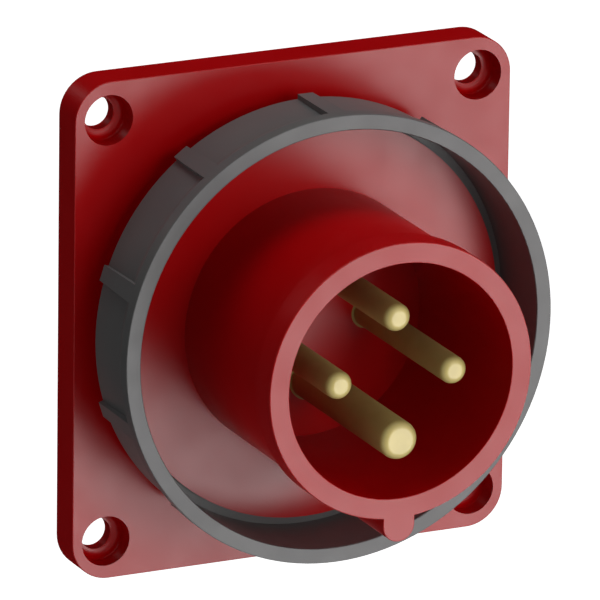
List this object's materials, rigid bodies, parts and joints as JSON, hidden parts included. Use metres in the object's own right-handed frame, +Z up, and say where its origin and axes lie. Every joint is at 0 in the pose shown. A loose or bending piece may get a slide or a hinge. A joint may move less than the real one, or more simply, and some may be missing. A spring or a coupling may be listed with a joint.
{
  "type": "pin and sleeve inlet",
  "caption": "Flange-mounted pin and sleeve power inlet: keyed round shroud around brass contact pins, with a ribbed locking ring that turns round it.",
  "frame": {"origin": "on the shroud's axis, in the plane of the flange's back face that meets the panel", "axes": "-Y out of the shroud's mouth, +Y through the panel to the terminals, +Z up with the key and the earth pin at the bottom, +X to the right seen from the mouth"},
  "size_m": [0.0842, 0.0738, 0.0916],
  "materials": {
    "red_plastic": "satin",
    "grey_plastic": "satin",
    "dark_plastic": "satin",
    "brass": "satin",
    "steel": "zinc plated",
    "rubber": "matte"
  },
  "bodies": {
    "inlet": {"flange_housing": "red_plastic", "contact_carrier": "dark_plastic", "phase_pin_right": "brass", "phase_pin_top": "brass", "phase_pin_left": "brass", "earth_pin": "brass", "terminal_screw_right": "steel", "terminal_screw_top": "steel", "terminal_screw_left": "steel", "terminal_screw_bottom": "steel", "pin_seal_right": "rubber", "pin_seal_top": "rubber", "pin_seal_left": "rubber", "pin_seal_bottom": "rubber", "carrier_seal": "rubber", "flange_gasket": "rubber", "carrier_screw_upper_right": "steel", "carrier_screw_upper_left": "steel", "carrier_screw_lower_left": "steel", "carrier_screw_lower_right": "steel"},
    "ring": {"locking_ring": "grey_plastic"}
  },
  "joints": [
    {"name": "ring_turn", "type": "hinge", "parent": "inlet", "child": "ring", "pos_m": [0, -0.0191, 0], "axis": [0, 1, 0], "range_deg": [0, 38]}
  ]
}
